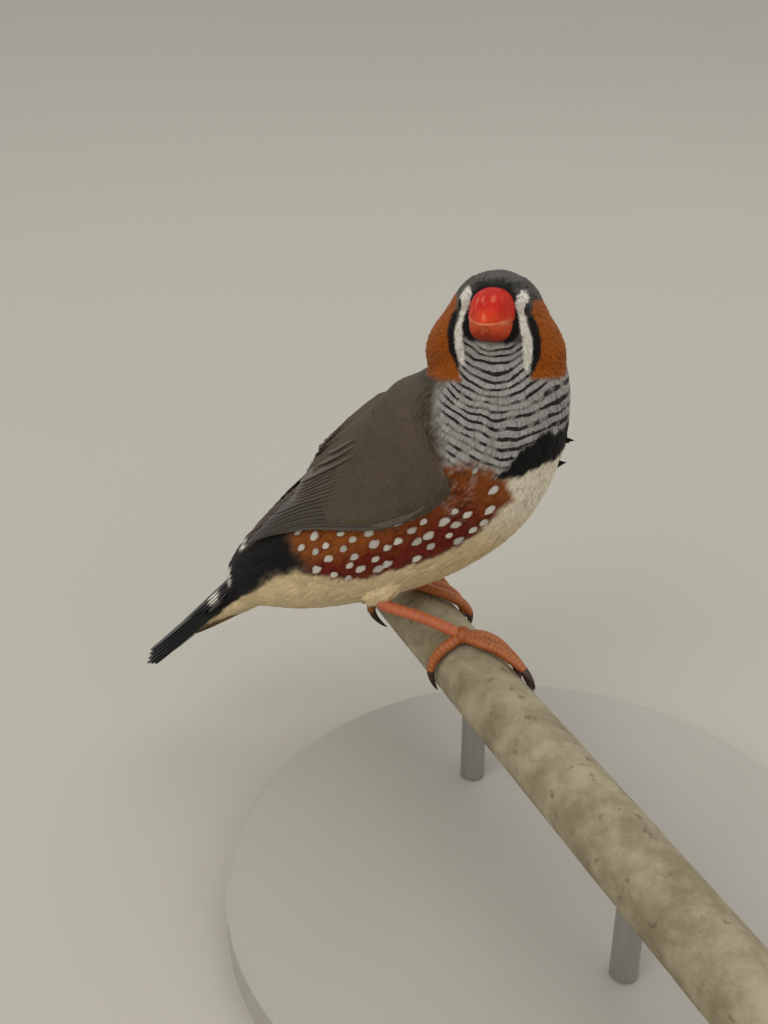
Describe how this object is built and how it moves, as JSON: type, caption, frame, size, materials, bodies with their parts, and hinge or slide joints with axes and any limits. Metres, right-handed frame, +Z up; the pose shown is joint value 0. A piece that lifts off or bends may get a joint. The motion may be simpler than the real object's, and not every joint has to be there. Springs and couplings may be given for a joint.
{
  "type": "zebra finch",
  "caption": "Life-size male zebra finch gripping a short cut length of round perch, its head turned aside, on a plain round display base.",
  "frame": {"origin": "centre of the display base's underside", "axes": "+X the way the bird's body faces, +Y to the bird's left, +Z up"},
  "size_m": [0.1187, 0.1126, 0.0905],
  "materials": {
    "plumage_body": "soft feathers, cream below, black across the breast and chestnut with white spots on the flanks",
    "plumage_head": "soft feathers, grey with fine dark bars on the throat and orange cheeks",
    "plumage_wing": "smooth overlapping flight feathers, grey-brown",
    "plumage_tail": "smooth overlapping feathers, black with white bars on the coverts",
    "bill_upper": "satin, red",
    "bill_lower": "satin, orange-red",
    "eye": "wet gloss, dark brown",
    "leg_skin": "scaly, pinkish orange, with dark claws",
    "perch_wood": "dull, worn, grey-brown",
    "stand_metal": "satin",
    "stand_paint": "matt painted, off-white"
  },
  "bodies": {
    "root": {"torso": "plumage_body", "neck": "plumage_head", "head": "plumage_head", "bill_upper": "bill_upper", "bill_lower": "bill_lower", "eye_right": "eye", "eye_left": "eye", "wing_right": "plumage_wing", "wing_left": "plumage_wing", "tail": "plumage_tail", "thigh_right": "plumage_body", "thigh_left": "plumage_body", "tarsus_right": "leg_skin", "tarsus_left": "leg_skin", "foot_right": "leg_skin", "foot_left": "leg_skin", "perch": "perch_wood", "stand_rod_far": "stand_metal", "stand_rod_near": "stand_metal", "stand_base": "stand_paint"}
  },
  "joints": []
}
